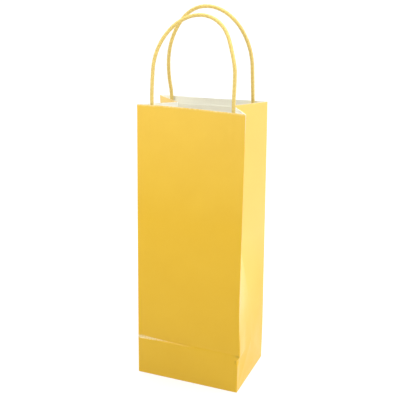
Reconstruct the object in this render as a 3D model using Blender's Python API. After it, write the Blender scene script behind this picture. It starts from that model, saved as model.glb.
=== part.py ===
"""Paper wine gift bag: block bottom, side gussets folded in at the mouth, two twisted cord handles.

Metres, +Z up, the front towards -Y. The origin is the centre of the base, on the table.
One sheet of paper makes the walls, but each panel between two folds is its own solid here,
because it is the folds that move: the back wall tilts, and the gussets fold in as it does.
"""
import math

import bmesh
import bpy
from mathutils import Matrix, Vector

# Driving dimensions
WIDTH = 0.127
DEPTH = 0.095
HEIGHT = 0.330
PAPER = 0.0003  # thickness of every ply
GAP = 0.00035  # between two pieces that touch on the real bag
CORD_RADIUS = 0.0020

# How the filled-out tube leans, at the mouth
FRONT_LEAN = 0.0031
FRONT_BOW = 0.0050
BACK_LEAN_LEFT = 0.0305
BACK_LEAN_RIGHT = 0.0151
BACK_BOW = 0.0015

# Handles and the patches that hold them
HANDLE_HALF_SPACING = 0.0475
PIVOT_ABOVE_MOUTH = 0.0030
LEG_BELOW_PIVOT = 0.0014
CORD_END_BELOW_MOUTH = 0.0020
CORD_END_LENGTH = 0.0340
LEG_STRAIGHT = 0.0360
ARCH_STEPS = 28
# Each handle's height over the mouth, how far its crown has gone inward, and how much of that
# is a curl towards the crown (1) and not a plain lean (0). Its bends make it uneven: which leg
# (1 is the right), at what share of the height, and how far towards the middle.
HANDLES = {
    "front": {"rise": 0.0965, "inward": 0.0240, "curl": 1.0, "bends": [(1, 0.66, 0.0029)]},
    "back": {
        "rise": 0.1045, "inward": 0.0178, "curl": 0.2,
        "bends": [(-1, 0.88, 0.0018), (-1, 0.25, -0.0017)],
    },
}
BEND_REACH = 0.22  # of the height, up and down from a bend's middle
BEND_LOW = 0.15  # the share of the height below which no bend reaches
PATCH_WIDTH = 0.115
PATCH_TOP = HEIGHT - 0.008
PATCH_HEIGHT = 0.040
HUMP_FLAT = 0.0027  # half width of the cover ply's ridge over a cord
HUMP_FOOT = 0.0058  # where the ridge has died away

# Base flaps
OUTER_FLAP_END = 0.0150
INNER_FLAP_END = -0.0160
JOGGLE = 0.0010
TUCK_DEPTH = 0.0400
LAP_WIDTH = 0.0120
LAP_LOW = 0.0100

HALF_W, HALF_D = WIDTH / 2, DEPTH / 2
FOLD_Z = HALF_D  # the base folds up against the front at half its depth
SETBACK = 0.0016  # a gusset panel's edge, back from the corner fold, so that it can turn
HEEL_SETBACK = 0.0035  # a heel's edge, back from the corner, so that the back wall can tilt in
CREASE_CLEARANCE = 0.0015  # and back from the middle crease, the pivot that is left open
PLY_STEP = PAPER + GAP

COLOURS = {
    "paper": ((0.87, 0.56, 0.07), 0.42),
    "liner": ((0.86, 0.84, 0.78), 0.65),
    "cord": ((0.80, 0.56, 0.17), 0.70),
}


def material(name):
    colour, roughness = COLOURS[name]
    made = bpy.data.materials.new(name)
    made.use_nodes = True
    shader = made.node_tree.nodes["Principled BSDF"]
    shader.inputs["Base Color"].default_value = (*colour, 1)
    shader.inputs["Roughness"].default_value = roughness
    shader.inputs["Metallic"].default_value = 0
    return made


def rise(z):
    """How far up the leaning part of a wall z is, 0 at the front fold to 1 at the mouth."""
    return max(0.0, (z - FOLD_Z) / (HEIGHT - FOLD_Z))


def front_y(x, z):
    """The outer face of the front wall."""
    bow = FRONT_BOW * rise(z) ** 2 * (1 - (x / HALF_W) ** 2)
    return -HALF_D + FRONT_LEAN * rise(z) + bow


def back_y(x, z):
    """The outer face of the back wall, which leans in further at the left than at the right."""
    lean = BACK_LEAN_LEFT + (BACK_LEAN_RIGHT - BACK_LEAN_LEFT) * (x / WIDTH + 0.5)
    bow = BACK_BOW * rise(z) ** 2 * (1 - (x / HALF_W) ** 2)
    return HALF_D - lean * rise(z) - bow


def gusset_line(side, end, z):
    """A gusset half at height z: its fold at the wall, and the gusset's middle crease.

    The paper between the two is half a side wide at every height, so the crease goes in
    as the walls come together.
    """
    x = side * HALF_W
    front, back = front_y(x, z), back_y(x, z)
    half = (back - front) / 2
    inset = math.sqrt(max(0.0, HALF_D**2 - half**2))
    edge = Vector((x, front if end == "front" else back, z))
    return edge, Vector((x - side * inset, (front + back) / 2, z))


def add(name, mesh, colour, offset=(0, 0, 0)):
    """Puts a mesh in the scene, with its origin at offset and its shape left where it is."""
    mesh.transform(Matrix.Translation(-Vector(offset)))
    made = bpy.data.objects.new(name, mesh)
    made.location = offset
    mesh.materials.append(material(colour))
    bpy.context.scene.collection.objects.link(made)
    return made


def ply(name, surface, columns, rows, colour, inward, hinge=(0, 0, 0)):
    """A panel of paper: surface(u, v) is its outer face, and it is PAPER thick towards inward."""
    grid = [[surface(i / columns, j / rows) for i in range(columns + 1)] for j in range(rows + 1)]
    form = bmesh.new()
    outer = [[form.verts.new(p) for p in row] for row in grid]
    inner = []
    for j, row in enumerate(grid):
        inner.append([])
        for i, point in enumerate(row):
            across = row[min(i + 1, columns)] - row[max(i - 1, 0)]
            up = grid[min(j + 1, rows)][i] - grid[max(j - 1, 0)][i]
            normal = across.cross(up).normalized()
            if normal.dot(Vector(inward)) < 0:
                normal.negate()
            inner[-1].append(form.verts.new(point + normal * PAPER))
    for j in range(rows):
        for i in range(columns):
            for face in (outer, inner):
                form.faces.new((face[j][i], face[j][i + 1], face[j + 1][i + 1], face[j + 1][i]))
    rim = [(0, i) for i in range(columns)] + [(j, columns) for j in range(rows)]
    rim += [(rows, i) for i in range(columns, 0, -1)] + [(j, 0) for j in range(rows, 0, -1)]
    for (j, i), (b, a) in zip(rim, rim[1:] + rim[:1]):
        form.faces.new((outer[j][i], outer[b][a], inner[b][a], inner[j][i]))
    bmesh.ops.recalc_face_normals(form, faces=form.faces)
    mesh = bpy.data.meshes.new(name)
    form.to_mesh(mesh)
    form.free()
    return add(name, mesh, colour, hinge)


def slab(name, outline, low, colour):
    """A flat ply lying on z = low, from its outline seen from above."""
    form = bmesh.new()
    face = form.faces.new([form.verts.new((x, y, low)) for x, y in outline])
    raised = bmesh.ops.extrude_face_region(form, geom=[face])["geom"]
    verts = [v for v in raised if isinstance(v, bmesh.types.BMVert)]
    bmesh.ops.translate(form, verts=verts, vec=(0, 0, PAPER))
    bmesh.ops.recalc_face_normals(form, faces=form.faces)
    mesh = bpy.data.meshes.new(name)
    form.to_mesh(mesh)
    form.free()
    return add(name, mesh, colour)


def cord(name, points, hinge=(0, 0, 0)):
    """A cord along points, with flat ends."""
    line = bpy.data.curves.new(name, "CURVE")
    line.dimensions = "3D"
    line.bevel_depth = CORD_RADIUS
    line.bevel_resolution = 2
    line.use_fill_caps = True
    spline = line.splines.new("POLY")
    spline.points.add(len(points) - 1)
    for slot, point in zip(spline.points, points):
        slot.co = (*(Vector(point) - Vector(hinge)), 1)
    made = bpy.data.objects.new(name, line)
    made.location = hinge
    line.materials.append(material("cord"))
    bpy.context.scene.collection.objects.link(made)
    return made


def make_walls():
    """The front in two panels, over and under its fold, and the back in one."""

    def front(low, high):
        def face(u, v):
            x, z = (u - 0.5) * WIDTH, low + (high - low) * v
            return Vector((x, front_y(x, z), z))

        return face

    def back(u, v):
        x, z = (u - 0.5) * WIDTH, PAPER + (HEIGHT - PAPER) * v
        return Vector((x, back_y(x, z), z))

    ply("front_wall_foot", front(0, FOLD_Z - GAP / 2), 4, 2, "paper", (0, 1, 0))
    ply("front_wall", front(FOLD_Z + GAP / 2, HEIGHT), 12, 8, "paper", (0, 1, 0))
    ply("back_wall", back, 12, 12, "paper", (0, -1, 0), hinge=(0, HALF_D, PAPER))


def make_gusset(label, side):
    """One side of the bag: two halves that fold, and the flat triangles under them."""
    for end in ("front", "back"):
        hinge, _ = gusset_line(side, end, FOLD_Z)

        def half(u, v):
            share = (SETBACK + u * (HALF_D - SETBACK - CREASE_CLEARANCE)) / HALF_D
            edge, middle = gusset_line(side, end, FOLD_Z + GAP + (HEIGHT - FOLD_Z - GAP) * v)
            return edge.lerp(middle, share)

        ply(f"{label}_gusset_{end}", half, 4, 10, "paper", (-side, 0, 0), hinge)

        def heel(u, v):
            """Between the corner, the front fold's height and the diagonal."""
            z = FOLD_Z - GAP - (FOLD_Z - 2 * HEEL_SETBACK) * (1 - v)
            share = (HEEL_SETBACK + u * (z - HEEL_SETBACK - 2 * GAP)) / HALF_D
            edge, middle = gusset_line(side, end, z)
            return edge.lerp(middle, share)

        ply(f"{label}_gusset_{end}_heel", heel, 2, 3, "paper", (-side, 0, 0))

    foot = HALF_D - PAPER - 2 * GAP

    def triangle(u, v):
        reach = foot - GAP - (FOLD_Z - 3 * GAP) * v
        return Vector((side * HALF_W, (2 * u - 1) * max(reach, GAP), (FOLD_Z - 3 * GAP) * v))

    ply(f"{label}_gusset_foot", triangle, 2, 4, "paper", (-side, 0, 0))


def make_base():
    """Two side tucks, then the back flap, then the front flap outermost."""
    x = HALF_W - PLY_STEP - GAP
    y = HALF_D - PLY_STEP

    def front_flap(u, v):
        return Vector(((2 * u - 1) * x, -y + (OUTER_FLAP_END + y) * v, 0))

    def back_flap(u, v):
        stops = (
            (y, 0.0),
            (OUTER_FLAP_END + 2 * JOGGLE, 0.0),
            (OUTER_FLAP_END + JOGGLE, PLY_STEP),
            (INNER_FLAP_END, PLY_STEP),
        )
        along, high = stops[round(v * (len(stops) - 1))]
        return Vector(((2 * u - 1) * x, along, high))

    ply("bottom_front_flap", front_flap, 2, 2, "paper", (0, 0, 1))
    ply("bottom_back_flap", back_flap, 2, 3, "paper", (0, 0, 1))
    for label, side in (("left", -1), ("right", 1)):
        inner = x - TUCK_DEPTH
        outline = [
            (side * x, -y + GAP),
            (side * x, y - GAP),
            (side * inner, y - GAP - TUCK_DEPTH / 2),
            (side * inner, -y + GAP + TUCK_DEPTH / 2),
        ]
        slab(f"bottom_{label}_tuck", outline, 2 * PLY_STEP, "paper")


def make_seam_lap():
    """The glued lap that closes the tube, inside the back wall's right edge."""
    right = HALF_W - PAPER - 4 * GAP

    low, high = LAP_LOW, PATCH_TOP - PATCH_HEIGHT - 2 * GAP

    def lap(u, v):
        x = right - LAP_WIDTH * (1 - u)
        z = low + (high - low) * v
        return Vector((x, back_y(x, z) - PLY_STEP, z))

    ply("seam_lap", lap, 2, 12, "liner", (0, -1, 0), hinge=(0, HALF_D, PAPER))


def ridge(x):
    """1 over a handle's cord, falling smoothly to 0 beside it."""
    away = abs(abs(x) - HANDLE_HALF_SPACING)
    t = min(1.0, max(0.0, (HUMP_FOOT - away) / (HUMP_FOOT - HUMP_FLAT)))
    return t * t * (3 - 2 * t)


def wall_y(end, x, z):
    return front_y(x, z) if end == "front" else back_y(x, z)


def cord_y(end, way, x, z):
    """Where a handle's cord runs, held between the two plies of its patch."""
    return wall_y(end, x, z) + way * (2 * PLY_STEP + CORD_RADIUS)


def make_patch(end, way, hinge):
    """Two plies glued inside the wall, with the cord's ends between them."""

    def backing(u, v):
        x, z = (u - 0.5) * PATCH_WIDTH, PATCH_TOP - PATCH_HEIGHT * (1 - v)
        return Vector((x, wall_y(end, x, z) + way * PLY_STEP, z))

    def cover(u, v):
        x = (u - 0.5) * (PATCH_WIDTH - 4 * GAP)
        z = PATCH_TOP - GAP - (PATCH_HEIGHT - 2 * GAP) * (1 - v)
        lift = 2 * PLY_STEP + ridge(x) * (2 * CORD_RADIUS + GAP)
        return Vector((x, wall_y(end, x, z) + way * lift, z))

    ply(f"{end}_patch_backing", backing, 8, 2, "liner", (0, way, 0), hinge)
    ply(f"{end}_patch_cover", cover, 64, 2, "liner", (0, way, 0), hinge)


def pivot(end, way, side):
    """Where one leg of a handle bends, just over the mouth."""
    x = side * HANDLE_HALF_SPACING
    return Vector((x, cord_y(end, way, x, HEIGHT), HEIGHT + PIVOT_ABOVE_MOUTH))


def uneven(shape, across, share):
    """across, moved towards the middle or away from it where the cord has a bend."""
    moved = sum(
        inward * math.exp(-(((share - middle) / BEND_REACH) ** 2))
        for side, middle, inward in shape["bends"] if side * across > 0
    )
    fade = (1 - (1 - across * across) ** 2) * min(1.0, max(0.0, share) / BEND_LOW)
    return across - math.copysign(1, across) * moved * fade / HANDLE_HALF_SPACING


def loop_points(end, way):
    """The handle from one pivot to the other: straight legs, then half an ellipse."""
    shape = HANDLES[end]
    left, right = pivot(end, way, -1), pivot(end, way, 1)
    centre, half = (left + right) / 2, (right - left) / 2
    height = shape["rise"] - PIVOT_ABOVE_MOUTH
    leg = [(1, -LEG_BELOW_PIVOT)] + [(1, LEG_STRAIGHT * k / 4) for k in range(1, 4)]
    outline = [(-across, up) for across, up in leg]
    for k in range(ARCH_STEPS + 1):
        turn = math.pi * k / ARCH_STEPS
        outline.append((-math.cos(turn), LEG_STRAIGHT + (height - LEG_STRAIGHT) * math.sin(turn)))
    outline += reversed(leg)
    points = []
    for across, up in outline:
        share = up / height
        inward = shape["inward"] * (share + shape["curl"] * (share * abs(share) - share))
        points.append(centre + half * uneven(shape, across, share) + Vector((0, way * inward, up)))
    return points, centre


def make_handle(end, way, wall_hinge):
    """The loop that stands up, and the two cord ends that the patch holds."""
    points, middle = loop_points(end, way)
    cord(f"{end}_handle_loop", points, hinge=middle)
    top = HEIGHT - CORD_END_BELOW_MOUTH
    for label, side in (("left", -1), ("right", 1)):
        x = side * HANDLE_HALF_SPACING
        heights = [top - CORD_END_LENGTH * (1 - k / 4) for k in range(5)]
        route = [(x, cord_y(end, way, x, z), z) for z in heights]
        cord(f"{end}_handle_end_{label}", route, wall_hinge)


def main():
    for old in list(bpy.data.objects):
        bpy.data.objects.remove(old, do_unlink=True)
    make_walls()
    make_gusset("left", -1)
    make_gusset("right", 1)
    make_base()
    make_seam_lap()
    for end, way, hinge in (("front", 1, (0, 0, 0)), ("back", -1, (0, HALF_D, PAPER))):
        make_patch(end, way, hinge)
        make_handle(end, way, hinge)


main()
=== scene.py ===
"""Looks of the paper wine gift bag: coated yellow paper, white inside, twisted paper cord handles.

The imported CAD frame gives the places. Every panel of paper here is a fine mesh on the outer
face of its CAD panel, so neighbouring panels share their folds exactly.
"""
import math

import bpy
import numpy as np
from mathutils import Matrix, Vector, noise


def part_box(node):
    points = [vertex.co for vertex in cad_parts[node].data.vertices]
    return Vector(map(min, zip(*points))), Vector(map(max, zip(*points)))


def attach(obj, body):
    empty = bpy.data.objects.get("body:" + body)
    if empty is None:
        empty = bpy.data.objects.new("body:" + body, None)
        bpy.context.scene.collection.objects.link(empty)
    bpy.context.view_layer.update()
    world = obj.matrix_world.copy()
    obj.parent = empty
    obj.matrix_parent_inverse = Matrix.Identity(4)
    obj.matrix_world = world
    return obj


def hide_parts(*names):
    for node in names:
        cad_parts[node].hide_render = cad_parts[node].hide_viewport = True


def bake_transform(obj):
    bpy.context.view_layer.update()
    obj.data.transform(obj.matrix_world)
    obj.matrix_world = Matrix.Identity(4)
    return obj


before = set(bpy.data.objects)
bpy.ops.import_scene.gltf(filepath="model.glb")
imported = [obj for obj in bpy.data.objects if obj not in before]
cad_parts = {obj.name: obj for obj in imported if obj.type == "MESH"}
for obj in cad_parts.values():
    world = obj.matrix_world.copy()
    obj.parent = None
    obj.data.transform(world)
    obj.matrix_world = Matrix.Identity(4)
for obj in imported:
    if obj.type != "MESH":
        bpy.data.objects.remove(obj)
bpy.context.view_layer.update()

# ---------------------------------------------------------------- places, from the frame
BAG, BACK = "bag", "back_panel"
foot_low, foot_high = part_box("front_wall_foot")
WIDTH = foot_high.x - foot_low.x
DEPTH = -2 * foot_low.y
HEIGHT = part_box("front_wall")[1].z
HALF_W, HALF_D = WIDTH / 2, DEPTH / 2
FOLD_Z = HALF_D  # height of the fold across the front, and of the gussets' lower corners
GUSSET_PARTS = ("front", "back", "front_heel", "back_heel", "foot")
PAPER = 0.0003
GAP = 0.00035
PLY_STEP = PAPER + GAP

# How the tube leans at the mouth, as the CAD panels do
FRONT_LEAN = 0.0031
FRONT_BOW = 0.0050
BACK_LEAN = {-1: 0.0305, 1: 0.0151}
BACK_BOW = 0.0015

# Handles and patches, as in the CAD
CORD_RADIUS = 0.0020
HANDLE_HALF_SPACING = 0.0475
PIVOT_Z = HEIGHT + 0.0030
LEG_STRAIGHT = 0.0360
ARCH_STEPS = 60
CORD_FOOT_Z = HEIGHT - 0.0360  # the lower ends of each cord, in its patch
# Each handle's height over the mouth, how far its crown has gone inward, how much of that is a
# curl, and its bends: which leg (1 is the right), at what share of the height, how far inward
HANDLES = {
    "front": {"rise": 0.0965, "inward": 0.0240, "curl": 1.0, "bends": [(1, 0.66, 0.0029)]},
    "back": {
        "rise": 0.1045, "inward": 0.0178, "curl": 0.2,
        "bends": [(-1, 0.88, 0.0018), (-1, 0.25, -0.0017)],
    },
}
BEND_REACH = 0.22  # of the height, up and down from a bend's middle
BEND_LOW = 0.15  # the share of the height below which no bend reaches
PATCH_WIDTH = 0.115
PATCH_TOP = HEIGHT - 0.008
PATCH_HEIGHT = 0.040
HUMP_FLAT = 0.0027  # half width of the top ply's ridge over a cord
HUMP_FOOT = 0.0058  # where the ridge has died away

# The twisted cord
CORD_STEP = 0.00055  # between two rings of its mesh
CORD_SIDES = 20
CORD_EASING = 24  # rounds of smoothing that the route gets
TWIST_PITCH = 0.0105  # for one turn of the paper strip
STRANDS = 2

# The studio
ROOM_LIGHT = (0.05, 1.35)  # how bright the room is on the camera's side, and behind the bag
FLOOR_REACH = 60.0
FLOOR_DROP = 0.0004  # under the base, so that the two never share a plane
LIGHT_AIM = Vector((0, 0, 0.2))

# Colours
YELLOW = ((0.83, 0.487, 0.009), (0.865, 0.525, 0.016))  # the two ends of the coating's mottle
YELLOW_FIBRE = (0.91, 0.63, 0.06)
CRACKED_AND_HIGHLIGHT = (1.0, 0.91, 0.58)  # white paper showing through the coating where a fold cracked it, and the painted highlight along the front fold
# painted shade in the knocked corner's dent, darker than the yellow
DENT_SHADE = (0.44, 0.29, 0.02)
BASE_SHADE = (0.66, 0.385, 0.006)  # painted shade, darkening the paper towards the base
# painted light: the paler yellow that stands for light falling on the top and the sheen on the
# sides
PAINTED_LIGHT_YELLOW = (0.87, 0.71, 0.32)
INSIDE = (0.99, 0.985, 0.90)
PATCH = (0.985, 0.975, 0.89)
YELLOW_CAST = (1.0, 0.91, 0.52)  # painted light: what the yellow base throws on the paper deep inside
CORD = ((0.67, 0.48, 0.115), (0.78, 0.61, 0.21))
# painted shade in the groove of the cord's twist
CORD_GROOVE_SHADE = (0.58, 0.35, 0.05)
# Painted light and shade: how much paler the paper is painted under and over two shares of the
# height, and how much painted shade darkens its base
FRONT_PAINTED_LIGHT = ((0.05, 0.19), (0.6, 1.0), 0.50)
SIDE_PAINTED_LIGHT = ((0.0, 0.48), (0.22, 0.52), 0.7)

# Paper detail
FOLD_ROUND = 0.0011  # reach of a fold's rounding, on each side of it
FOLD_DROP = 0.00032  # how far the rounding takes the fold inside the sharp corner
WEAR_REACH = 0.0009  # how far from a fold the coating is cracked
ROW = 0.0022  # between two rows of a wall's or a gusset's mesh
DENSE_UNDER = 0.0035  # under the front fold, the middle of a second band of closer rows
LEDGE = 0.0026  # the foot's step out from the wall at the left end of the front fold
LEDGE_HEIGHT = 0.0024
VALLEY = 0.0013  # how deep the fold lies at its right end
FADE_UNDER, FADE_OVER = 0.012, 0.030  # how soon the fold's step dies away, on each side of it
TUCK_CURL = 0.0022
CREASE_RISE = 0.15  # over the fold, where a gusset is folded in as deep as its paper allows
CALM = 0.012  # from a panel's edge, the strip where its waves grow

# The knocked front right corner
BULGE = 0.0026  # out, at the fold and over it
BULGE_REACH = 0.030  # across the paper
BULGE_OVER, BULGE_UNDER = 0.032, 0.0042  # how soon it dies away
DENT = 0.0016
DENT_REACH = 0.0065
DENT_LOW, DENT_HALF = 0.0080, 0.0028  # under the fold
# Painted shade spots in the knocked corner's dent: their place in from the corner and down from the
# fold, and half sizes
DENT_SHADE_SPOTS = ((0.0022, 0.0006, 0.0034, 0.0014), (0.0016, 0.0085, 0.0020, 0.0014))

# Upright buckles in the front under the mouth: x, reach, height
BUCKLES = ((0.029, 0.012, 0.0011), (0.011, 0.002, 0.00012), (-0.036, 0.016, -0.0006))


# ---------------------------------------------------------------- camera, light, floor
def make_camera():
    """At the photograph's viewing angle."""
    data = bpy.data.cameras.new("camera")
    data.lens = 72.5
    data.sensor_width = 36
    data.clip_start = 0.01
    made = bpy.data.objects.new("camera", data)
    place, aim = Vector((0.3233, -0.8306, 0.5076)), Vector((-0.0045, 0, 0.2137))
    turn = (aim - place).to_track_quat("-Z", "Y").to_matrix().to_4x4()
    roll = Matrix.Rotation(math.radians(0.77), 4, "Z")
    made.matrix_world = Matrix.Translation(place) @ turn @ roll
    bpy.context.scene.collection.objects.link(made)
    bpy.context.scene.camera = made


def make_light(name, place, size, watts, colour=(1, 1, 1)):
    data = bpy.data.lights.new(name, "AREA")
    data.shape = "RECTANGLE"
    data.size, data.size_y = size
    data.energy = watts
    data.color = colour
    made = bpy.data.objects.new(name, data)
    made.location = place
    made.rotation_euler = (LIGHT_AIM - made.location).to_track_quat("-Z", "Y").to_euler()
    made.visible_camera = False
    bpy.context.scene.collection.objects.link(made)


def make_studio():
    """A pale floor in soft daylight, brightest from the right."""
    world = bpy.data.worlds.new("studio")
    world.use_nodes = True
    tree = world.node_tree
    direction = tree.nodes.new("ShaderNodeTexCoord")
    parts = tree.nodes.new("ShaderNodeSeparateXYZ")
    depth = tree.nodes.new("ShaderNodeMapRange")
    tree.links.new(direction.outputs["Generated"], parts.inputs[0])
    tree.links.new(parts.outputs["Y"], depth.inputs["Value"])
    ends = {"From Min": -0.7, "From Max": 0.5, "To Min": ROOM_LIGHT[0], "To Max": ROOM_LIGHT[1]}
    for socket, value in ends.items():
        depth.inputs[socket].default_value = value
    sky = tree.nodes["Background"]
    sky.inputs["Color"].default_value = (1, 1, 1, 1)
    tree.links.new(depth.outputs["Result"], sky.inputs["Strength"])
    bpy.context.scene.world = world
    bpy.context.scene.view_settings.view_transform = "Standard"
    make_light("key", (1.5, 0.1, 1.0), (1.4, 1.4), 17, (1, 0.99, 0.97))
    make_light("fill", (-0.35, -0.75, 0.80), (0.5, 0.5), 4.5)
    make_light("top", (0.0, 0.05, 1.5), (0.6, 0.6), 12)
    make_floor()


def make_floor():
    mesh = bpy.data.meshes.new("floor")
    square = ((-1, -1), (1, -1), (1, 1), (-1, 1))
    corners = [(x * FLOOR_REACH, y * FLOOR_REACH, 0) for x, y in square]
    mesh.from_pydata(corners, [], [(0, 1, 2, 3)])
    floor = bpy.data.objects.new("floor", mesh)
    floor.location.z = -FLOOR_DROP
    bpy.context.scene.collection.objects.link(floor)
    paint = Nodes("floor")
    paint.shader.inputs["Base Color"].default_value = (0.35, 0.35, 0.35, 1)
    paint.shader.inputs["Roughness"].default_value = 0.6
    paint.shader.inputs["Emission Color"].default_value = (1, 1, 1, 1)
    paint.shader.inputs["Emission Strength"].default_value = 0.66
    paint.bump(paint.noise(40, 3), 0.05, 0.0005)
    mesh.materials.append(paint.material)


# ---------------------------------------------------------------- materials
class Nodes:
    """A Principled material and short ways to add to it."""

    def __init__(self, name):
        self.material = bpy.data.materials.new(name)
        self.material.use_nodes = True
        self.tree = self.material.node_tree
        self.shader = self.tree.nodes["Principled BSDF"]
        self.last_bump = None

    def add(self, kind, **values):
        node = self.tree.nodes.new(kind)
        for key, value in values.items():
            setattr(node, key, value)
        return node

    def link(self, out, into):
        self.tree.links.new(out, into)

    def place(self, scale=(1, 1, 1)):
        """Object coordinates, stretched by scale."""
        coordinates = self.add("ShaderNodeTexCoord")
        mapping = self.add("ShaderNodeMapping")
        mapping.inputs["Scale"].default_value = scale
        self.link(coordinates.outputs["Object"], mapping.inputs["Vector"])
        return mapping.outputs["Vector"]

    def height(self):
        """0 at the base, 1 at the mouth."""
        parts = self.add("ShaderNodeSeparateXYZ")
        self.link(self.place((1, 1, 1 / HEIGHT)), parts.inputs[0])
        return parts.outputs["Z"]

    def noise(self, scale, detail=4, stretch=(1, 1, 1), roughness=0.55):
        made = self.add("ShaderNodeTexNoise")
        made.inputs["Scale"].default_value = scale
        made.inputs["Detail"].default_value = detail
        made.inputs["Roughness"].default_value = roughness
        self.link(self.place(stretch), made.inputs["Vector"])
        return made.outputs["Fac"]

    def ramp(self, factor, low, high, at=(0, 1)):
        """Colours or greys from low to high as factor goes between the two places."""
        made = self.add("ShaderNodeValToRGB")
        for stop, colour, position in zip(made.color_ramp.elements, (low, high), at):
            stop.color = (*colour, 1) if isinstance(colour, tuple) else (colour, colour, colour, 1)
            stop.position = position
        self.link(factor, made.inputs["Fac"])
        return made.outputs["Color"]

    def mix(self, factor, a, b, kind="MIX"):
        made = self.add("ShaderNodeMix", data_type="RGBA", blend_type=kind)
        colours = [s for s in made.inputs if s.type == "RGBA"]
        for value, socket in ((a, colours[0]), (b, colours[1])):
            if isinstance(value, tuple):
                socket.default_value = (*value, 1)
            else:
                self.link(value, socket)
        if isinstance(factor, float):
            made.inputs["Factor"].default_value = factor
        else:
            self.link(factor, made.inputs["Factor"])
        return [s for s in made.outputs if s.type == "RGBA"][0]

    def maths(self, kind, a, b):
        made = self.add("ShaderNodeMath", operation=kind)
        for value, socket in ((a, made.inputs[0]), (b, made.inputs[1])):
            if isinstance(value, (int, float)):
                socket.default_value = value
            else:
                self.link(value, socket)
        return made.outputs[0]

    def attribute(self, name):
        made = self.add("ShaderNodeAttribute", attribute_name=name, attribute_type="GEOMETRY")
        return made.outputs["Fac"]

    def bump(self, height, strength, distance):
        made = self.add("ShaderNodeBump")
        made.inputs["Strength"].default_value = strength
        made.inputs["Distance"].default_value = distance
        self.link(height, made.inputs["Height"])
        if self.last_bump:
            self.link(self.last_bump, made.inputs["Normal"])
        self.last_bump = made.outputs["Normal"]
        self.link(self.last_bump, self.shader.inputs["Normal"])


def coated_paper(name, painted_light, between, deep):
    """Yellow clay-coated paper: satin, a little mottled, pale where a fold has cracked it, with a
    painted highlight on the front fold and painted shade in a dent.

    The second argument is how much paler the paper is painted, as painted light, under and over
    the two heights in between. deep is how much painted shade darkens it towards the base.
    """
    m = Nodes(name)
    colour = m.ramp(m.noise(22, 5), *YELLOW, (0.3, 0.7))
    fibres = m.noise(900, 3, (1, 1, 0.25))
    colour = m.mix(m.ramp(fibres, 0.0, 0.10, (0.45, 0.8)), colour, YELLOW_FIBRE)
    # The attribute holds cracked coating, a painted highlight on the front fold and, below zero,
    # painted shade.
    cracks = m.ramp(m.noise(420, 4), 0.12, 0.55, (0.35, 0.62))
    wear_and_painted_light = m.maths("MULTIPLY", m.attribute("wear_and_painted_light"), cracks)
    colour = m.mix(wear_and_painted_light, colour, CRACKED_AND_HIGHLIGHT)
    # Painted shade: the attribute's values below zero darken the knocked corner's dent.
    dent_shade_mask = m.maths("MULTIPLY", m.attribute("wear_and_painted_light"), -1.0)
    colour = m.mix(dent_shade_mask, colour, DENT_SHADE)
    # Painted shade: darker towards the base.
    colour = m.mix(m.ramp(m.height(), deep, 0.0, (0.1, 0.95)), colour, BASE_SHADE)
    # Painted light: paler higher up, more so on the sides.
    colour = m.mix(m.ramp(m.height(), *painted_light, between), colour, PAINTED_LIGHT_YELLOW)
    m.link(colour, m.shader.inputs["Base Color"])
    gloss = m.ramp(m.noise(60, 4), 0.30, 0.40, (0.3, 0.7))
    m.link(m.mix(wear_and_painted_light, gloss, (0.6, 0.6, 0.6)), m.shader.inputs["Roughness"])
    m.shader.inputs["Specular IOR Level"].default_value = 0.08
    m.shader.inputs["Coat Weight"].default_value = 0.30
    m.shader.inputs["Coat Roughness"].default_value = 0.30
    m.shader.inputs["Sheen Weight"].default_value = 0.12
    m.shader.inputs["Sheen Roughness"].default_value = 0.4
    m.shader.inputs["Sheen Tint"].default_value = (1, 0.96, 0.86, 1)
    m.bump(m.noise(9, 3), 0.25, 0.0022)
    m.bump(m.noise(240, 4), 0.12, 0.0003)
    m.bump(fibres, 0.10, 0.0001)
    return m.material


def plain_paper(name, tint):
    """Uncoated white paper with its fibres, flecked and matte, with painted yellow bounce light
    deep inside the bag.
    """
    m = Nodes(name)
    dull, fleck = (tuple(c * share for c in tint) for share in (0.965, 0.88))
    colour = m.ramp(m.noise(35, 5), dull, tint, (0.3, 0.7))
    fibres = m.noise(700, 4, (1, 1, 0.3))
    colour = m.mix(m.ramp(fibres, 0.0, 0.25, (0.5, 0.85)), colour, fleck)
    # Painted light: the yellow thrown from the base, deep inside the bag.
    colour = m.mix(m.ramp(m.height(), 0.85, 0.0, (0.87, 0.945)), colour, YELLOW_CAST)
    m.link(colour, m.shader.inputs["Base Color"])
    m.link(m.ramp(fibres, 0.62, 0.78), m.shader.inputs["Roughness"])
    m.shader.inputs["Specular IOR Level"].default_value = 0.3
    m.bump(m.noise(300, 4), 0.15, 0.0003)
    m.bump(fibres, 0.25, 0.00015)
    return m.material


def twisted_paper():
    """Cord rolled from a strip of dyed paper: the strip's edge runs round it as a fine helix, with
    painted shade in its groove.
    """
    m = Nodes("twisted_paper")
    fibres = m.noise(1100, 4)
    colour = m.ramp(fibres, *CORD, (0.3, 0.7))
    # Painted shade in the groove of the twist.
    groove_shade = m.ramp(m.attribute("groove"), 0.35, 0.0, (0.0, 0.45))
    colour = m.mix(groove_shade, colour, CORD_GROOVE_SHADE)
    m.link(colour, m.shader.inputs["Base Color"])
    m.link(m.ramp(m.noise(200, 3), 0.55, 0.72), m.shader.inputs["Roughness"])
    m.shader.inputs["Specular IOR Level"].default_value = 0.35
    m.bump(fibres, 0.35, 0.0002)
    return m.material


# ---------------------------------------------------------------- the shape of the tube
def smooth(t):
    t = min(1.0, max(0.0, t))
    return t * t * (3 - 2 * t)


def rise(z):
    """How far up the leaning part of a wall z is."""
    return max(0.0, (z - FOLD_Z) / (HEIGHT - FOLD_Z))


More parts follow.
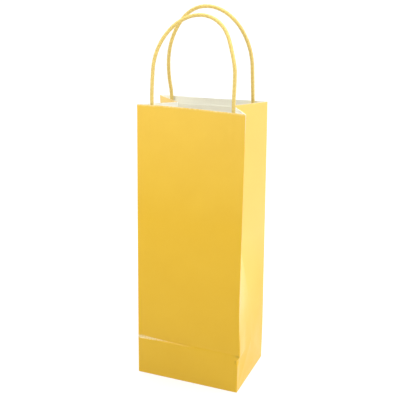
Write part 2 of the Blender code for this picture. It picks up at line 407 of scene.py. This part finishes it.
def ripple(x, z, seed):
    """The slow waves that a handled sheet of paper keeps, none of them at a fold."""
    broad = noise.noise(Vector((x * 14, seed, z * 9)))
    fine = noise.noise(Vector((x * 42, seed + 5, z * 30)))
    return 0.0011 * broad + 0.00022 * fine


def front_y(x, z):
    """The front wall's outer face, without its ripples."""
    return -HALF_D + FRONT_LEAN * rise(z) + FRONT_BOW * rise(z) ** 2 * (1 - (x / HALF_W) ** 2)


def back_y(x, z):
    """The back wall's outer face, without its ripples."""
    lean = BACK_LEAN[-1] + (BACK_LEAN[1] - BACK_LEAN[-1]) * (x / WIDTH + 0.5)
    return HALF_D - lean * rise(z) - BACK_BOW * rise(z) ** 2 * (1 - (x / HALF_W) ** 2)


def corner(side, end, z):
    """A vertical fold, where a gusset meets the front or the back wall."""
    x = side * HALF_W
    return Vector((x, front_y(x, z) if end == "front" else back_y(x, z), z))


def crease(side, z):
    """The gusset's middle fold: each half of the gusset keeps its width, half a side."""
    front, back = corner(side, "front", z), corner(side, "back", z)
    half = (back.y - front.y) / 2
    inset = math.sqrt(max(0.0, HALF_D**2 - half**2)) * smooth((z - FOLD_Z) / CREASE_RISE)
    return Vector((front.x - side * inset, (front.y + back.y) / 2, z))


def drop(side, end, z):
    """Where a corner fold's rounding takes it: towards the inside of its two panels' angle."""
    at = corner(side, end, z)
    along_gusset = (crease(side, z) - at).normalized()
    return (along_gusset + Vector((-side, 0, 0))).normalized() * FOLD_DROP


def knock(side, z, distance):
    """The knocked front right corner: pushed out over the fold, and in under it.

    distance is how far from the corner the paper is.
    """
    if side < 0:
        return Vector((0, 0, 0))
    away = z - FOLD_Z
    over = math.exp(-((away / (BULGE_OVER if away > 0 else BULGE_UNDER)) ** 2))
    under = math.exp(-(((away + DENT_LOW) / DENT_HALF) ** 2))
    out = Vector((1, -0.2, 0)) * BULGE * over * smooth(1 - distance / BULGE_REACH)
    return out - Vector((1, -1, 0)) * DENT * under * smooth(1 - distance / DENT_REACH)


def dent_shading(side, from_corner, z):
    """How much painted shade darkens the knocked corner, at the fold and in the dent under it."""
    if side < 0:
        return 0.0
    marks = 0.0
    for inset, low, wide, high in DENT_SHADE_SPOTS:
        away = Vector(((from_corner - inset) / wide, (z - FOLD_Z + low) / high))
        marks += math.exp(-away.length_squared)
    return marks


def rounding(distance):
    """1 on a fold, 0 from FOLD_ROUND away."""
    return max(0.0, 1 - distance / FOLD_ROUND) ** 2


def wear_and_painted_light(distance):
    return max(0.0, 1 - distance / WEAR_REACH)


def spaced(low, high, step, dense_at=()):
    """Places from low to high about step apart, with more of them round each fold."""
    places = set(np.round(np.linspace(low, high, max(2, int((high - low) / step))), 6))
    for middle in dense_at:
        for k in (0.0, 0.15, 0.35, 0.6, 1.0, 1.5):
            for way in (-1, 1):
                if low <= middle + way * k * FOLD_ROUND <= high:
                    places.add(round(middle + way * k * FOLD_ROUND, 6))
    return sorted(places)


# ---------------------------------------------------------------- meshes
def panel(name, face, us, vs, towards, materials, thickness=PAPER):
    """A ply of paper. face(u, v) gives a point of its outer face and its paleness there: cracked
    coating and painted highlight, with painted shade below zero.
    """
    grid = [[face(u, v) for u in us] for v in vs]
    points = np.array([[p for p, _ in row] for row in grid], float)
    paleness = np.array([[w for _, w in row] for row in grid], float)
    across, up = np.gradient(points, axis=1), np.gradient(points, axis=0)
    normal = np.cross(across, up)
    normal /= np.maximum(np.linalg.norm(normal, axis=2, keepdims=True), 1e-12)
    if (normal.mean((0, 1)) * towards).sum() < 0:
        normal = -normal
    flipped = (np.cross(across, up).mean((0, 1)) * towards).sum() > 0
    rows, columns = paleness.shape
    verts = np.concatenate([points.reshape(-1, 3), (points + normal * thickness).reshape(-1, 3)])
    index = np.arange(rows * columns).reshape(rows, columns)
    a, b, c, d = index[:-1, :-1], index[:-1, 1:], index[1:, 1:], index[1:, :-1]
    outer = np.stack([a, b, c, d], 2).reshape(-1, 4)
    if flipped:
        outer = outer[:, ::-1]
    inner = outer[:, ::-1] + rows * columns
    ring = np.concatenate([index[0, :-1], index[:-1, -1], index[-1, :0:-1], index[:0:-1, 0]])
    after = np.roll(ring, -1)
    rim = np.stack([ring, ring + rows * columns, after + rows * columns, after], 1)
    if flipped:
        rim = rim[:, ::-1]
    faces = np.concatenate([outer, inner, rim])
    mesh = bpy.data.meshes.new(name)
    mesh.from_pydata(verts.tolist(), [], faces.tolist())
    for one in materials:
        mesh.materials.append(one)
    kind = np.zeros(len(faces), np.int32)
    kind[len(outer):] = len(materials) - 1
    mesh.polygons.foreach_set("material_index", kind)
    soft = np.ones(len(faces), bool)
    soft[len(outer) + len(inner):] = False
    mesh.polygons.foreach_set("use_smooth", soft)
    # How pale each point is: cracked coating, painted highlight and, below zero, painted shade.
    wear_and_painted_light_values = mesh.attributes.new("wear_and_painted_light", "FLOAT", "POINT")
    wear_and_painted_light_values.data.foreach_set("value", np.tile(paleness.reshape(-1), 2))
    edges = mesh.attributes.new("sharp_edge", "BOOLEAN", "EDGE")
    rim_pairs = {tuple(sorted(p)) for p in zip(ring.tolist(), after.tolist())}
    rim_pairs |= {(p[0] + rows * columns, p[1] + rows * columns) for p in rim_pairs}
    edges.data.foreach_set("value", [tuple(sorted(e.vertices)) in rim_pairs for e in mesh.edges])
    mesh.update()
    made = bpy.data.objects.new(name, mesh)
    bpy.context.scene.collection.objects.link(made)
    return made


def wave(end, x, z):
    """How far a wall stands out from its plain shape: slow ripples, and buckles up to the mouth."""
    calm = smooth((HALF_W - abs(x)) / CALM) * smooth(z / CALM)
    if end == "back":
        return calm * ripple(x, z, 8.1)
    buckled = sum(
        height * math.exp(-(((x - place) / reach) ** 2)) for place, reach, height in BUCKLES
    )
    rippled = ripple(x, z, 1.3) * smooth(abs(z - FOLD_Z) / 0.015)
    return calm * (rippled + buckled * smooth((z - 0.14) / 0.12))


def patch_print(x, z):
    """How the patch and the cords glued inside show through a wall: a faint raised edge."""
    across = HALF_W - 0.0065 - abs(x)
    low = z - (PATCH_TOP - PATCH_HEIGHT)
    high = PATCH_TOP - z
    plateau = smooth(across / 0.002) * smooth(low / 0.003) * smooth(high / 0.002)
    from_cord = abs(abs(x) - HANDLE_HALF_SPACING)
    cord = smooth(1 - from_cord / 0.0045) * smooth((z - CORD_FOOT_Z) / 0.004)
    return 0.00012 * plateau + 0.00035 * cord


def front_face(x, z):
    """The front wall, with its rounded side folds, a painted highlight on the fold across it and
    painted shade in its knocked corner.
    """
    side = -1 if x < 0 else 1
    from_corner = HALF_W - abs(x)
    y = front_y(x, z) - wave("front", x, z) - patch_print(x, z) - fold_step(x, z)
    point = Vector((x, y, z)) + drop(side, "front", z) * rounding(from_corner)
    point += knock(side, z, from_corner)
    # Painted highlight along the fold across the front, widest and brightest at the left end.
    shine = smooth((0.004 - x) / 0.067)
    half_width = 0.0006 + 0.0011 * shine**3
    gloss = 6 * shine**2 * max(0.0, 1 - abs(z - FOLD_Z - 0.0004) / half_width)
    # The mouth's rim is pale where the coating is cracked, and on the front twice as pale as on the
    # back, as a painted highlight.
    paleness = max(0.3 * wear_and_painted_light(from_corner), gloss, 1.2 * wear_and_painted_light(HEIGHT - z))
    # Painted shade in the knocked corner's dent goes in as values below zero.
    return point, paleness - dent_shading(side, from_corner, z)


def fold_step(x, z):
    """How far the front wall stands out at the fold across it.

    At the left the foot stands out under the wall in a small ledge. Towards the right the wall
    and the foot both turn in to the fold.
    """
    away = z - FOLD_Z
    ledge = LEDGE * smooth(0.62 - x / WIDTH) ** 2 * (smooth(0.5 - away / LEDGE_HEIGHT) - 0.5)
    ledge *= math.exp(-abs(away) / (FADE_UNDER if away < 0 else FADE_OVER))
    valley = VALLEY * smooth(x / HALF_W * 0.7 + 0.3)
    valley *= math.exp(-abs(away) / (0.4 * (FADE_UNDER if away < 0 else FADE_OVER)))
    return (ledge - valley) * smooth((HALF_W - abs(x)) / 0.005)


def back_face(x, z):
    """The back wall, with its rounded side folds."""
    side = -1 if x < 0 else 1
    from_corner = HALF_W - abs(x)
    y = back_y(x, z) + wave("back", x, z) + patch_print(x, z)
    point = Vector((x, y, z)) + drop(side, "back", z) * rounding(from_corner)
    return point, max(wear_and_painted_light(from_corner), wear_and_painted_light(HEIGHT - z) * 0.6)


def gusset_face(side, share, z):
    """share is 0 at the front corner, 1 at the middle crease and 2 at the back corner.

    Low down the side is only dished, and its crease sharpens with height.
    """
    front, middle, back = corner(side, "front", z), crease(side, z), corner(side, "back", z)
    inward = middle - (front + back) / 2
    creased = front.lerp(middle, share) if share <= 1 else middle.lerp(back, share - 1)
    dished = front.lerp(back, share / 2) + inward * (share * (2 - share))
    sharp = smooth((z - FOLD_Z) / CREASE_RISE)
    point = dished.lerp(creased, sharp)
    from_middle = abs(share - 1) * HALF_D
    from_front, from_back = share * HALF_D, (2 - share) * HALF_D
    point -= inward.normalized() * FOLD_DROP * rounding(from_middle) * sharp
    point += drop(side, "front", z) * rounding(from_front)
    point += drop(side, "back", z) * rounding(from_back)
    point += knock(side, z, from_front)
    point.x += side * side_relief(side, share, z, sharp)
    worn_crease = wear_and_painted_light(from_middle) * smooth((z - 0.15) / 0.1)
    paleness = 0.3 * max(wear_and_painted_light(from_front), wear_and_painted_light(from_back), worn_crease)
    return point, max(paleness, wear_and_painted_light(HEIGHT - z) * 0.6)


def side_relief(side, share, z, sharp):
    """How far a side stands out from its plain shape: ripples, and the marks of two folds.

    The bag was packed flat with its base folded up, so each side keeps a faint diagonal mark
    from the base to the middle crease on each side of it.
    """
    from_middle = abs(share - 1) * HALF_D
    from_edge = HALF_D - from_middle
    diagonal = abs(z - from_edge) / math.sqrt(2)
    on_diagonal = math.exp(-(diagonal / 0.0012) ** 2) * smooth(z / 0.004)
    wide = math.exp(-(diagonal / 0.007) ** 2) * smooth(z / CALM)
    calm = smooth(from_edge / 0.01) * smooth(z / CALM)
    calm *= 1 - sharp * (1 - smooth(from_middle / 0.008))
    marks = 0.00010 * on_diagonal + 0.0003 * wide * calm
    outward = marks + calm * ripple(share * HALF_D, z, 3.7 + side)
    return outward * (1 - 0.4 * smooth((z - FOLD_Z) / 0.006))


def make_walls(outside, inside):
    """The front wall with its foot, and the back wall."""
    xs = spaced(-HALF_W, HALF_W, 0.0016, (-HALF_W, HALF_W))
    zs = spaced(0, HEIGHT, ROW, (FOLD_Z, FOLD_Z - DENSE_UNDER))
    front = panel("front_panel", front_face, xs, zs, (0, 1, 0), [outside, inside])
    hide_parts("front_wall", "front_wall_foot")
    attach(front, BAG)
    zs = spaced(PAPER, HEIGHT, ROW)
    back = panel("back_panel_skin", back_face, xs, zs, (0, -1, 0), [outside, inside])
    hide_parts("back_wall")
    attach(back, BACK)


def make_gusset(label, side, outside, inside):
    """A side of the bag in one skin."""
    shares = [a / HALF_D for a in spaced(0, DEPTH, 0.0012, (0, HALF_D, DEPTH))]
    zs = spaced(0, HEIGHT, ROW, (FOLD_Z, FOLD_Z - DENSE_UNDER))
    made = panel(
        f"{label}_gusset", lambda share, z: gusset_face(side, share, z), shares, zs,
        (-side, 0, 0), [outside, inside],
    )
    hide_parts(*(f"{label}_gusset_{part}" for part in GUSSET_PARTS))
    top, foot = corner(side, "back", HEIGHT), corner(side, "back", FOLD_Z)
    up = (top - foot).normalized()
    out = Vector((0, up.z, -up.y))
    reach = (top - corner(side, "front", HEIGHT)).dot(out) - 0.0005
    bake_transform(made)


def make_base(outside, inside):
    """The folded block bottom: two tucks inside, then the back flap, then the front flap."""
    half = HALF_W - PLY_STEP - GAP
    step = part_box("bottom_front_flap")[1].y + 0.0015

    for node, seed in (("bottom_front_flap", 2.2), ("bottom_back_flap", 6.4)):
        low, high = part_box(node)
        joggled = node == "bottom_back_flap"

        def face(x, y, low=low, high=high, seed=seed, joggled=joggled):
            from_edge = min(half - abs(x), abs(y - low.y), abs(high.y - y))
            lift = PLY_STEP * (1 - smooth((y - step + 0.0005) / 0.001)) if joggled else 0.0
            uneven_by = 1 + noise.noise(Vector((x * 40, seed, y * 40)))
            dent = 0.00012 * smooth(from_edge / 0.006) * uneven_by
            return Vector((x, y, lift + (0.0 if lift else dent))), wear_and_painted_light(from_edge)

        across, deep = spaced(-half, half, 0.003, (-half, half)), spaced(low.y, high.y, 0.0012)
        made = panel(f"{node}_skin", face, across, deep, (0, 0, 1), [outside, inside])
        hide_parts(node)
        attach(made, BAG)


def make_tucks(inside):
    """The gussets' ends, folded in over the base first, with their free edges curling up."""
    for label, side in (("left", -1), ("right", 1)):
        low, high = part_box(f"bottom_{label}_tuck")

        def face(x, y, low=low, high=high, side=side):
            free = (high.x - x if side < 0 else x - low.x) / (high.x - low.x)
            waver = 1 + 0.4 * noise.noise(Vector((side, y * 25, 0.5)))
            return Vector((x, y, low.z + TUCK_CURL * (1 - free) ** 2 * waver)), 0.0

        across, deep = spaced(low.x, high.x, 0.0015), spaced(low.y, high.y, 0.003)
        made = panel(f"bottom_{label}_tuck_skin", face, across, deep, (0, 0, 1), [inside])
        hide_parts(f"bottom_{label}_tuck")
        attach(made, BAG)


def make_lap(inside):
    """The tube's glued lap, a strip down the inside of the back wall."""
    low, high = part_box("seam_lap")

    def face(x, z):
        return Vector((x, back_y(x, z) + wave("back", x, z) - PLY_STEP, z)), 0.0

    across, up = spaced(low.x, high.x, 0.0012), spaced(low.z, high.z, 0.003)
    made = panel("seam_lap_strip", face, across, up, (0, -1, 0), [inside])
    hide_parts("seam_lap")
    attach(made, BACK)


# ---------------------------------------------------------------- handles and patches
def wall_y(end, x, z):
    return front_y(x, z) if end == "front" else back_y(x, z)


def cord_y(end, way, x, z):
    return wall_y(end, x, z) + way * (2 * PLY_STEP + CORD_RADIUS)


def uneven(shape, across, share):
    """across, moved towards the middle or away from it where the cord has a bend."""
    moved = sum(
        inward * math.exp(-(((share - middle) / BEND_REACH) ** 2))
        for side, middle, inward in shape["bends"] if side * across > 0
    )
    fade = (1 - (1 - across * across) ** 2) * min(1.0, max(0.0, share) / BEND_LOW)
    return across - math.copysign(1, across) * moved * fade / HANDLE_HALF_SPACING


def handle_route(end, way):
    """The whole cord, from under one side of the patch, over the mouth and back under the other."""
    shape = HANDLES[end]
    left_foot, right_foot = (
        Vector((x, cord_y(end, way, x, HEIGHT), PIVOT_Z))
        for x in (-HANDLE_HALF_SPACING, HANDLE_HALF_SPACING)
    )
    centre, half = (left_foot + right_foot) / 2, (right_foot - left_foot) / 2
    height = shape["rise"] - (PIVOT_Z - HEIGHT)

    def above(across, up):
        share = up / height
        inward = shape["inward"] * (share + shape["curl"] * (share * share - share))
        return centre + half * uneven(shape, across, share) + Vector((0, way * inward, up))

    def in_patch(x, z):
        return Vector((x, cord_y(end, way, x, z) - way * wave(end, x, z), z))

    heights = np.linspace(CORD_FOOT_Z, HEIGHT - 0.002, 12)
    steps = [LEG_STRAIGHT * k / 12 for k in range(12)]
    left = [in_patch(-HANDLE_HALF_SPACING, z) for z in heights]
    left += [above(-1, up) for up in steps]
    right = [above(1, up) for up in reversed(steps)]
    right += [in_patch(HANDLE_HALF_SPACING, z) for z in reversed(heights)]
    arch = []
    for k in range(ARCH_STEPS + 1):
        turn = math.pi * k / ARCH_STEPS
        up = LEG_STRAIGHT + (height - LEG_STRAIGHT) * math.sin(turn)
        arch.append(above(-math.cos(turn), up))
    return left + arch + right


def resample(points, step):
    """The same line with points a step apart, and how far along it each one is."""
    line = np.array(points, float)
    along = np.concatenate([[0], np.cumsum(np.linalg.norm(np.diff(line, axis=0), axis=1))])
    at = np.linspace(0, along[-1], int(along[-1] / step))
    return np.stack([np.interp(at, along, line[:, k]) for k in range(3)], axis=1), at


def cord_mesh(name, points, material):
    """A cord twisted from a paper strip: a helical groove, and slightly uneven thickness."""
    line, at = resample(points, CORD_STEP)
    for _ in range(CORD_EASING):
        line[1:-1] = (line[:-2] + 2 * line[1:-1] + line[2:]) / 4
    tangent = np.gradient(line, axis=0)
    tangent /= np.linalg.norm(tangent, axis=1, keepdims=True)
    side = np.cross(tangent[0], (0, 1, 0))
    side /= np.linalg.norm(side)
    verts, groove = [], []
    for i, (p, t) in enumerate(zip(line, tangent)):
        side = side - t * side.dot(t)
        side /= np.linalg.norm(side)
        other = np.cross(t, side)
        swell = 1 + 0.05 * noise.noise(Vector((at[i] * 90, 3.1, len(name))))
        for k in range(CORD_SIDES):
            angle = 2 * math.pi * k / CORD_SIDES
            phase = STRANDS * (angle - 2 * math.pi * at[i] / TWIST_PITCH)
            lobe = abs(math.cos(phase / 2))
            radius = CORD_RADIUS * swell * (0.93 + 0.09 * lobe ** 0.6)
            verts.append(p + radius * (side * math.cos(angle) + other * math.sin(angle)))
            groove.append(lobe)
    faces = []
    for low in range(0, len(verts) - CORD_SIDES, CORD_SIDES):
        high = low + CORD_SIDES
        for k in range(CORD_SIDES):
            n = (k + 1) % CORD_SIDES
            faces.append((low + k, low + n, high + n, high + k))
    faces.append(tuple(reversed(range(CORD_SIDES))))
    faces.append(tuple(range(len(verts) - CORD_SIDES, len(verts))))
    mesh = bpy.data.meshes.new(name)
    mesh.from_pydata([tuple(v) for v in verts], [], faces)
    mesh.materials.append(material)
    mesh.polygons.foreach_set("use_smooth", [True] * len(faces))
    mesh.attributes.new("groove", "FLOAT", "POINT").data.foreach_set("value", groove)
    made = bpy.data.objects.new(name, mesh)
    bpy.context.scene.collection.objects.link(made)
    return made


def make_handle(end, way, material):
    """One cord: its ends stay in the patch, and it bends where it leaves the mouth."""
    made = cord_mesh(f"{end}_handle", handle_route(end, way), material)
    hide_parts(f"{end}_handle_loop", f"{end}_handle_end_left", f"{end}_handle_end_right")
    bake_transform(made)


def ridge(x):
    """1 over a cord, falling smoothly to 0 beside it."""
    away = abs(abs(x) - HANDLE_HALF_SPACING)
    return smooth((HUMP_FOOT - away) / (HUMP_FOOT - HUMP_FLAT))


def make_patch(end, way, wall_body, paper):
    """Two plies glued inside the wall, with the cord's ends between them."""
    half = PATCH_WIDTH / 2

    def backing(x, z):
        return Vector((x, wall_y(end, x, z) + way * (PLY_STEP - wave(end, x, z)), z)), 0.0

    def cover(x, z):
        puff = 0.00018 * noise.noise(Vector((x * 60, way, z * 60)))
        lift = 2 * PLY_STEP + ridge(x) * (2 * CORD_RADIUS + GAP) + max(0.0, puff) - wave(end, x, z)
        return Vector((x, wall_y(end, x, z) + way * lift, z)), 0.0

    xs, zs = spaced(-half, half, 0.002), spaced(PATCH_TOP - PATCH_HEIGHT, PATCH_TOP, 0.0016)
    made = panel(f"{end}_patch_back_ply", backing, xs, zs, (0, way, 0), [paper])
    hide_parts(f"{end}_patch_backing")
    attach(made, wall_body)
    xs, zs = spaced(-half + 2 * GAP, half - 2 * GAP, 0.0007), [z - GAP / 2 for z in zs]
    made = panel(f"{end}_patch_top_ply", cover, xs, zs, (0, way, 0), [paper])
    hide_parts(f"{end}_patch_cover")
    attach(made, wall_body)


def main():
    make_camera()
    make_studio()
    outside = coated_paper("coated_paper", *FRONT_PAINTED_LIGHT)
    # A copy of the coated paper for the sides, painted paler as painted sheen and light, and darker
    # at the base as painted shade.
    sides = coated_paper("coated_paper_sides_painted_sheen", *SIDE_PAINTED_LIGHT)
    inside = plain_paper("paper_inside", INSIDE)
    liner = plain_paper("patch_paper", PATCH)
    cord = twisted_paper()
    make_walls(outside, inside)
    make_gusset("left", -1, sides, inside)
    make_gusset("right", 1, sides, inside)
    make_base(outside, inside)
    make_tucks(inside)
    make_lap(inside)
    for end, way, body in (("front", 1, BAG), ("back", -1, BACK)):
        make_patch(end, way, body, liner)
        make_handle(end, way, cord)


main()
